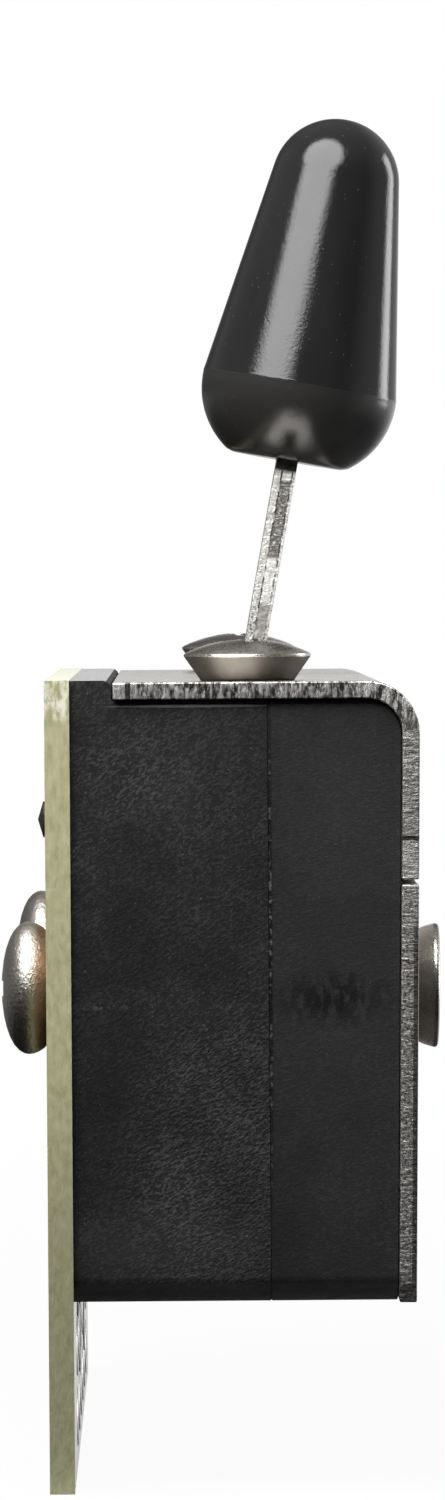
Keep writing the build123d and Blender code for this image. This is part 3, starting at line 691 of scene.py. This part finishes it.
# Clamp screws: two long cross-recessed screws with rounded heads on the board. They pass through both
# body halves into the bushes on the bracket's leg. Cold-headed steel with a warm nickel finish whose
# blasted grain shows on the crown.
clamp_length = 14.33
clamp_rim = 1.85
cross_size = (2.3, 0.66, 1.0)


def screw_nickel(name, seat_top, smooth, grain_depth):
    material, tree, shader, place = new_material(name, Metallic=1.0)
    cloud, grain = mottled(tree, place, (700, 700, 700), 9.0)
    bright = ramp(tree, cloud, (0.3, (0.50, 0.46, 0.42)), (0.7, (0.64, 0.60, 0.555)))
    # Below the seat top the colour is darker: painted shade on the seat under the crown.
    dull = ramp(tree, cloud, (0.3, (0.10, 0.092, 0.08)), (0.7, (0.16, 0.148, 0.132)))
    in_seat = math_node(tree, "LESS_THAN", axis_values(tree, place)[2], seat_top)
    tree.links.new(mixed(tree, in_seat, bright, dull), shader.inputs["Base Color"])
    satin = ramp(tree, grain, (0.3, smooth), (0.7, smooth + 0.14))
    tree.links.new(mixed(tree, in_seat, satin, (0.46, 0.46, 0.46)), shader.inputs["Roughness"])
    bump(tree, shader, grain, grain_depth)
    return material


def cross_recess(mesh, place, top, turn):
    """The same mesh with a tapered cross recess sunk in the head, its top given in mm."""
    length, width, depth = cross_size
    holder = show("head", mesh, screw_finish)
    work = bmesh.new()
    for quarter in (0, 90):
        at = place @ Matrix.Rotation(math.radians(turn + quarter), 4, "Z")
        ring = []
        for share, height in ((0.45, top - depth), (1.15, top + 0.4)):
            half_length, half_width = length / 2 * share, width / 2 * (0.75 + 0.25 * share)
            corners = ((-1, -1), (1, -1), (1, 1), (-1, 1))
            points = [Vector((half_length * a, half_width * b, height)) * mm for a, b in corners]
            ring.append([work.verts.new(at @ point) for point in points])
        work.faces.new(ring[0])
        work.faces.new(ring[1])
        for step in range(4):
            following = (step + 1) % 4
            work.faces.new((ring[0][step], ring[0][following], ring[1][following], ring[1][step]))
    cutter = show("cross", mesh_of(work, "cross"), screw_finish)
    modifier = holder.modifiers.new("recess", "BOOLEAN")
    modifier.object = cutter
    modifier.operation = "DIFFERENCE"
    modifier.solver = "EXACT"
    modifier.use_self = True
    bpy.context.view_layer.update()
    cut = plain_mesh(holder)
    bpy.data.objects.remove(cutter)
    return cut


screw_finish = screw_nickel("screw_nickel", -1.0, 0.27, 0.045 * mm)
clamp_profile = [(0, -clamp_length), (1.15, -clamp_length), (1.48, -clamp_length + 0.35), (1.48, 0.01)]
clamp_profile += [(2.28, 0.01), (2.46, 0.16), (2.6, 0.38), (2.68, 0.6), (clamp_head, 0.8), (2.66, 0.99)]
clamp_profile += [(2.54, 1.19), (2.32, 1.39), (2.0, 1.56), (1.6, 1.7), (1.15, 1.8), (0.6, 1.87)]
clamp_profile += [(0.25, 1.888), (0, 1.89)]
clamp_place = facing((-1, 0, 0), (board_outer - track_height, 0, clamp_level))
clamp_mesh = cross_recess(lathe(clamp_profile, clamp_place), clamp_place, clamp_rim, 0)
clamps = in_rows("clamp_screw_pair", clamp_mesh, screw_finish, 2, 2 * clamp_line)
fit(clamps, "base", "nickel_screw", "clamp_screws")

# Bushes: two short threaded sleeves with a flared collar on the outside of the leg, which take the clamp
# screws. Turned, nickel plated like the screws, with the flare rolled over at its rim.
bush_face = leg_outer + clamp_level * math.tan(leg_lean)
bush_profile = [(1.56, -3.3), (1.98, -3.3), (1.98, 0.0), (2.2, 0.01), (2.3, 0.2), (2.42, 0.5)]
bush_profile += [(2.5, 0.78), (2.53, 0.9), (2.5, 1.0), (2.42, 1.05), (2.2, 1.06), (1.8, 1.0)]
bush_profile += [(1.62, 0.9), (1.56, 0.75)]
bush_axis = (math.cos(leg_lean), 0, -math.sin(leg_lean))
bush_place = facing(bush_axis, (bush_face, 0, clamp_level))
bush_finish = screw_nickel("bush_nickel", -1.0, 0.18, 0.012 * mm)
bushes = in_rows("clamp_bush_pair", lathe(bush_profile, bush_place), bush_finish, 2, 2 * clamp_line)
fit(bushes, "base", "nickel_screw", "clamp_bushes")

# Mounting screws: two raised countersunk screws driven into the burred holes of the top plate. They hold
# the switch under the guitar's face. Low crown, sharp rim and a plain conical seat, in warm nickel.
mounting_pitch = 41.3 * mm
head_top = 1.69
crown_profile = [(0, -7.0), (1.1, -7.0), (1.47, -6.6), (1.47, -0.42), (1.88, 0.0), (2.12, 0.36)]
crown_profile += [(2.36, 0.7), (2.5, 0.9), (2.555, 0.98), (2.565, 1.03), (2.545, 1.08), (2.45, 1.14)]
crown_profile += [(2.2, 1.255), (1.9, 1.365), (1.5, 1.49), (1.0, 1.6), (0.5, 1.67), (0, head_top)]
upright = Matrix.Identity(4)
# The mounting screws' seat, below 0.97 mm, gets painted shade.
seat_finish = screw_nickel("seat_nickel", 0.97 * mm, 0.2, 0.004 * mm)
crown_mesh = cross_recess(lathe(crown_profile, upright), upright, head_top, 14)
mounts = in_rows("mounting_screw_pair", crown_mesh, seat_finish, 2, mounting_pitch)
fit(mounts, "base", "nickel_screw", "mounting_screws")

# Lever: a flat blade stamped from steel strip, with two round ears that it rocks on and a narrow tail
# in the wiper block. Nickel plated; its stamped edges keep bright rolled corners and a torn, banded face.
blade_edge = 0.24 * mm
lever_tilt = math.radians(10.3)
rock_joint = next(joint for joint in frame["joints"] if joint["name"] == "lever_rock")
rock_level = rock_joint["pos_m"][2]
blade_half = 1.8 * mm
stem_length = 12.0 * mm
rolled_corners = ((-1, 0.14 * mm), (1, 0.31 * mm))
corner_line = 0.035 * mm
corner_waver = 0.12 * mm


def lever_steel():
    material, tree, shader, place = new_material("lever_steel", Metallic=1.0)
    turned = add_node(tree, "Mapping", {"Vector": place, "Rotation": (0, -lever_tilt, 0)}).outputs[0]
    x, y, z = axis_values(tree, turned)
    streak, fleck = mottled(tree, turned, (2600, 2600, 3600), 3.0)
    ragged, _ = mottled(tree, turned, (10, 10, 5200), 3.0)
    rolled, grain = mottled(tree, turned, (400, 400, 400), 9.0)
    face = ramp(tree, rolled, (0.3, (0.56, 0.54, 0.51)), (0.7, (0.70, 0.68, 0.645)))
    # Up the stamped edge: grey by the slot, then burnished, then torn, with a bright stop by the knob.
    level = math_node(tree, "MULTIPLY", z, 1 / stem_length)
    pale = (0.97, 0.96, 0.93)
    grey = (0.2, 0.19, 0.18)
    lower = ramp(tree, level, (0.255, (0.42, 0.41, 0.39)), (0.275, pale), (0.42, pale), (0.435, grey))
    # Dark from the bright stop up to the knob: a painted reflection of the black knob.
    upper = ramp(tree, level, (0.7, grey), (0.715, pale), (0.73, pale), (0.745, (0.03, 0.03, 0.03)))
    torn = mixed(tree, math_node(tree, "GREATER_THAN", level, 0.6), lower, upper)
    in_torn = ramp(tree, level, (0.42, 0.2), (0.44, 0.7), (0.7, 0.7), (0.74, 0.0))
    flecked = math_node(tree, "MULTIPLY", ramp(tree, fleck, (0.5, 0.0), (0.62, 1.0)), in_torn)
    torn = mixed(tree, flecked, torn, (0.75, 0.74, 0.71))
    burnished = ramp(tree, level, (0.26, 0.0), (0.29, 1.0), (0.42, 1.0), (0.44, 0.0))
    rungs = math_node(tree, "MULTIPLY", ramp(tree, ragged, (0.5, 0.0), (0.58, 0.5)), burnished)
    torn = mixed(tree, rungs, torn, (0.4, 0.39, 0.37))
    # Its two corners are rolled bright, each with a ragged dark line on the inside.
    shift = math_node(tree, "MULTIPLY", math_node(tree, "SUBTRACT", ragged, 0.5), corner_waver)
    across = math_node(tree, "ADD", math_node(tree, "ADD", x, rock_level * math.sin(lever_tilt)), shift)
    below_knob = ramp(tree, level, (0.725, 1.0), (0.74, 0.0))
    pits = ramp(tree, fleck, (0.48, 0.0), (0.58, 1.0))
    foot = ramp(tree, level, (0.22, 1.0), (0.3, 0.7))
    for outwards, inner in rolled_corners:
        reach = math_node(tree, "SUBTRACT", math_node(tree, "MULTIPLY", across, outwards), inner)
        corner = math_node(tree, "MULTIPLY", math_node(tree, "GREATER_THAN", reach, 0.0), below_knob)
        torn = mixed(tree, corner, torn, mixed(tree, math_node(tree, "MULTIPLY", pits, foot), pale, grey))
        line = math_node(tree, "LESS_THAN", math_node(tree, "ABSOLUTE", reach), corner_line)
        line = math_node(tree, "MULTIPLY", line, ramp(tree, streak, (0.44, 0.2), (0.54, 0.95)))
        torn = mixed(tree, line, torn, (0.06, 0.058, 0.055))
    stamped = near_ends(tree, y, blade_half, 0.03 * mm)
    tree.links.new(mixed(tree, stamped, face, torn), shader.inputs["Base Color"])
    smooth = ramp(tree, grain, (0.3, 0.26), (0.7, 0.36))
    rough = ramp(tree, fleck, (0.3, 0.34), (0.7, 0.55))
    tree.links.new(mixed(tree, stamped, smooth, rough), shader.inputs["Roughness"])
    relief = math_node(tree, "MULTIPLY", streak, stamped)
    relief = math_node(tree, "ADD", relief, math_node(tree, "MULTIPLY", grain, 0.015))
    bump(tree, shader, relief, 0.05 * mm)
    return material


blade = broken_edges("lever_blade", blade_edge, lever_steel(), "blade")
fit(blade, "lever", "lever_steel", "lever_blade")

# Knob: the tip pushed on the blade, moulded in black and polished. A round crown runs down a straight
# cone to the parting ring, and a rounded base below it has the slot for the blade.
knob_stand = 10.94 * mm
crown_centre = 12.06
crown_radius = 2.74
cone_turn = 9.09
cone_foot = (4.165, 3.4)
base_centre = (0.587, 3.05)
base_curve = 3.6
blade_slot = (0.96, 3.66, 8.33)
parting_ring = [(4.19, 3.27), (4.175, 3.34)]
ring_height = 3.28 * mm
ring_level = knob_stand + ring_height + rock_level * math.cos(lever_tilt)


def knob_polish():
    material, tree, shader, place = new_material("knob_polish", Specular_IOR_Level=0.42)
    turned = add_node(tree, "Mapping", {"Vector": place, "Rotation": (0, -lever_tilt, 0)}).outputs[0]
    ripple, _ = mottled(tree, turned, (420, 420, 90), 3.0)
    scratch, _ = mottled(tree, turned, (2600, 2600, 160), 2.0)
    grain = add_node(tree, "TexVoronoi", {"Vector": turned, "Scale": 2600.0})
    specks = ramp(tree, grain.outputs["Distance"], (0.0, 0.6), (0.1, 0.0))
    base = ramp(tree, ripple, (0.3, (0.008, 0.008, 0.0084)), (0.7, (0.012, 0.012, 0.0125)))
    # Below the parting ring the moulding is less polished.
    below_ring = math_node(tree, "LESS_THAN", axis_values(tree, turned)[2], ring_level)
    base = mixed(tree, below_ring, base, (0.019, 0.0185, 0.018))
    tree.links.new(mixed(tree, specks, base, (0.12, 0.12, 0.125)), shader.inputs["Base Color"])
    polish = ramp(tree, scratch, (0.35, 0.07), (0.7, 0.13))
    tree.links.new(mixed(tree, below_ring, polish, (0.2, 0.2, 0.2)), shader.inputs["Roughness"])
    _, peel = mottled(tree, turned, (1500, 1500, 1500), 5.0)
    relief = 0.0
    for height, share in ((ripple, 0.5), (scratch, 0.3), (peel, 0.5)):
        relief = math_node(tree, "ADD", relief, math_node(tree, "MULTIPLY", height, share))
    bump(tree, shader, relief, 0.013 * mm)
    return material


def arc(centre, radius, start, end, steps):
    """Points of a profile arc between two angles in degrees."""
    turns = [math.radians(start + (end - start) * step / steps) for step in range(steps + 1)]
    return [(centre[0] + radius * math.cos(t), centre[1] + radius * math.sin(t)) for t in turns]


lever_place = Matrix.Translation((0, 0, rock_level)) @ Matrix.Rotation(lever_tilt, 4, "Y")
knob_place = lever_place @ Matrix.Translation((0, 0, knob_stand))
knob_profile = [(0, 0), (1.2, 0), (2.36, 0)]
knob_profile += arc(base_centre, base_curve, -55.0, 2.4, 26)
knob_profile += parting_ring
cone_angle = math.radians(cone_turn)
cone_top = (crown_radius * math.cos(cone_angle), crown_centre + crown_radius * math.sin(cone_angle))
for share in (0.0, 0.25, 0.5, 0.75):
    knob_profile.append(tuple(foot + (top - foot) * share for foot, top in zip(cone_foot, cone_top)))
knob_profile += arc((0, crown_centre), crown_radius, cone_turn, 88.0, 30)
knob_profile.append((0, crown_centre + crown_radius))
knob_finish = knob_polish()
solid = show("knob.solid", lathe(knob_profile, knob_place, 120), knob_finish)
work = bmesh.new()
bmesh.ops.create_cube(work, size=1.0)
slot_x, slot_y, slot_z = (size * mm for size in blade_slot)
work.transform(knob_place @ Matrix.Diagonal((slot_x, slot_y, 2 * slot_z, 1)))
slot_tool = show("knob.slot", mesh_of(work, "knob.slot"), knob_finish)
modifier = solid.modifiers.new("slot", "BOOLEAN")
modifier.object = slot_tool
modifier.operation = "DIFFERENCE"
modifier.solver = "EXACT"
bpy.context.view_layer.update()
knob_mesh = plain_mesh(solid)
bpy.data.objects.remove(slot_tool)
knob = show("knob", knob_mesh, knob_finish)
fit(knob, "lever", "knob_gloss", "lever_knob")

# Studio: pale floor under the board's lower edge and a white surround, both darker where metal mirrors
# them. A round soft light stands front left and a narrow one back right; a third, at the back left, isn't
# mirrored. The camera looks along the switch from its near end.
floor_level = cad_low.z
floor_size = 3.0
floor_front = -0.026


def studio_floor():
    material = bpy.data.materials.new("studio_floor")
    material.use_nodes = True
    tree = material.node_tree
    shader = tree.nodes["Principled BSDF"]
    shader.inputs["Base Color"].default_value = (0.45, 0.45, 0.45, 1)
    shader.inputs["Roughness"].default_value = 0.9
    path = add_node(tree, "LightPath")
    flat = add_node(tree, "TexCoord").outputs["Object"]
    away = add_node(tree, "VectorMath", {0: flat}, operation="LENGTH").outputs["Value"]
    away = math_node(tree, "MULTIPLY", away, 4.0)
    direct = math_node(tree, "MAXIMUM", path.outputs["Is Camera Ray"], path.outputs["Is Transmission Ray"])
    direct = math_node(tree, "MULTIPLY", direct, ramp(tree, away, (0.15, 0.955), (0.8, 1.0)))
    mirrored = path.outputs["Is Glossy Ray"]
    share = math_node(tree, "MAXIMUM", direct, mirrored)
    # In what metal mirrors, the floor darkens towards the object: painted shade, like the object's own
    # shadow.
    far = ramp(tree, math_node(tree, "MULTIPLY", away, 0.4), (0.14, 0.04), (0.9, 1.0))
    slant = add_node(tree, "LayerWeight", {"Blend": 0.5}).outputs["Facing"]
    side = axis_values(tree, flat)[0]
    leg_side = ramp(tree, math_node(tree, "MULTIPLY", side, 20.0), (0.0, 0.0), (0.6, 1.0))
    board_grazing = ramp(tree, slant, (0.78, 0.0), (0.9, 1.0))
    leg_grazing = ramp(tree, slant, (0.5, 0.0), (0.8, 0.6), (0.9, 1.0))
    grazing = mixed(tree, leg_side, board_grazing, leg_grazing)
    near = math_node(tree, "MULTIPLY", leg_side, 0.13)
    reflected = math_node(tree, "MAXIMUM", math_node(tree, "MAXIMUM", far, near), grazing)
    board_side = ramp(tree, math_node(tree, "MULTIPLY", side, -20.0), (0.0, 1.0), (0.5, 0.2))
    reflected = math_node(tree, "MULTIPLY", reflected, board_side)
    glow = add_node(tree, "Emission", {"Color": mixed(tree, mirrored, (1.0, 1.0, 1.0), reflected)})
    blend = add_node(tree, "MixShader", {0: share, 1: shader.outputs[0], 2: glow.outputs[0]})
    tree.links.new(blend.outputs[0], tree.nodes["Material Output"].inputs["Surface"])
    return material


floor_mesh = bpy.data.meshes.new("floor")
floor_corners = [(-floor_size, floor_front), (floor_size, floor_front)]
floor_corners += [(floor_size, floor_size), (-floor_size, floor_size)]
floor_mesh.from_pydata([(x, y, floor_level) for x, y in floor_corners], [], [(0, 1, 2, 3)])
show("floor", floor_mesh, studio_floor())

world = bpy.data.worlds.new("surround")
bpy.context.scene.world = world
world.use_nodes = True
sky = world.node_tree
direction = add_node(sky, "TexCoord").outputs["Generated"]
dir_x, dir_y, dir_z = axis_values(sky, direction)
height = math_node(sky, "ADD", math_node(sky, "MULTIPLY", dir_z, 0.5), 0.5)
rear = math_node(sky, "ADD", math_node(sky, "MULTIPLY", dir_y, 0.5), 0.5)
to_board = math_node(sky, "MULTIPLY", dir_x, -1.0)
leg_corner = math_node(sky, "ADD", dir_x, math_node(sky, "MULTIPLY", dir_y, 0.6))
# What metal mirrors: a bright patch low behind, a strip beside the leg, one over the board and the top.
behind = ramp(sky, rear, (0.95, 0.0), (0.985, 1.0))
behind = math_node(sky, "MULTIPLY", behind, ramp(sky, height, (0.56, 1.0), (0.7, 0.0)))
behind = math_node(sky, "MULTIPLY", behind, ramp(sky, to_board, (0.03, 1.0), (0.14, 0.15)))
beside = ramp(sky, leg_corner, (0.45, 0.0), (0.95, 0.5))
middle = ramp(sky, height, (0.56, 0.0), (0.62, 1.0), (0.8, 1.0), (0.9, 0.3))
over_board = math_node(sky, "MULTIPLY", ramp(sky, to_board, (0.35, 0.0), (0.7, 0.26)), middle)
reflected = ramp(sky, height, (0.36, 0.02), (0.52, 0.07), (0.75, 0.1), (0.95, 0.3))
for patch in (behind, beside, over_board):
    reflected = math_node(sky, "MAXIMUM", reflected, patch)
path = add_node(sky, "LightPath")
mirrored = path.outputs["Is Glossy Ray"]
seen = math_node(sky, "MAXIMUM", path.outputs["Is Camera Ray"], path.outputs["Is Transmission Ray"])
fill = ramp(sky, height, (0.45, 0.02), (0.8, 0.2))
fill = math_node(sky, "MULTIPLY", math_node(sky, "SUBTRACT", 1.0, mirrored), fill)
level = math_node(sky, "ADD", math_node(sky, "MULTIPLY", mirrored, reflected), fill)
sky.links.new(math_node(sky, "MAXIMUM", level, seen), sky.nodes["Background"].inputs["Color"])
sky.nodes["Background"].inputs["Strength"].default_value = 1.0


def soft_light(name, place, target, shape, size, power):
    """Soft light aimed at a point, sizes in metres; the camera sees only what it lights."""
    lamp = bpy.data.lights.new(name, "AREA")
    lamp.shape = shape
    lamp.size, lamp.size_y = size
    lamp.energy = power
    holder = bpy.data.objects.new(name, lamp)
    bpy.context.scene.collection.objects.link(holder)
    holder.location = place
    holder.rotation_euler = (Vector(target) - Vector(place)).to_track_quat("-Z", "Y").to_euler()
    holder.visible_camera = False
    return holder


knob_middle = (0.004, 0.0, 0.018)
soft_light("round_light", (-0.0311, -0.0608, 0.096), knob_middle, "DISK", (0.13, 0.13), 0.4)
soft_light("edge_light", (0.262, 0.145, 0.06), knob_middle, "RECTANGLE", (0.09, 0.2), 0.3)
back_light = soft_light("back_light", (-0.16, 0.3, 0.2), (0, 0, 0), "RECTANGLE", (0.2, 0.2), 0.6)
back_light.visible_glossy = False

camera_place = (-3.1 * mm, -340 * mm, 3.65 * mm)
camera_turn = math.radians(-0.372)
camera_pitch = math.radians(90 - 1.155)
camera_roll = math.radians(-0.42)
camera_data = bpy.data.cameras.new("camera")
camera_data.lens = 190.5
camera_data.sensor_width = 36.0
camera_data.clip_start = 0.01
camera = bpy.data.objects.new("camera", camera_data)
bpy.context.scene.collection.objects.link(camera)
camera.location = camera_place
aim = Matrix.Rotation(camera_turn, 4, "Z") @ Matrix.Rotation(camera_pitch, 4, "X")
camera.rotation_euler = (aim @ Matrix.Rotation(camera_roll, 4, "Z")).to_euler()
bpy.context.scene.camera = camera
bpy.context.scene.view_settings.view_transform = "Standard"
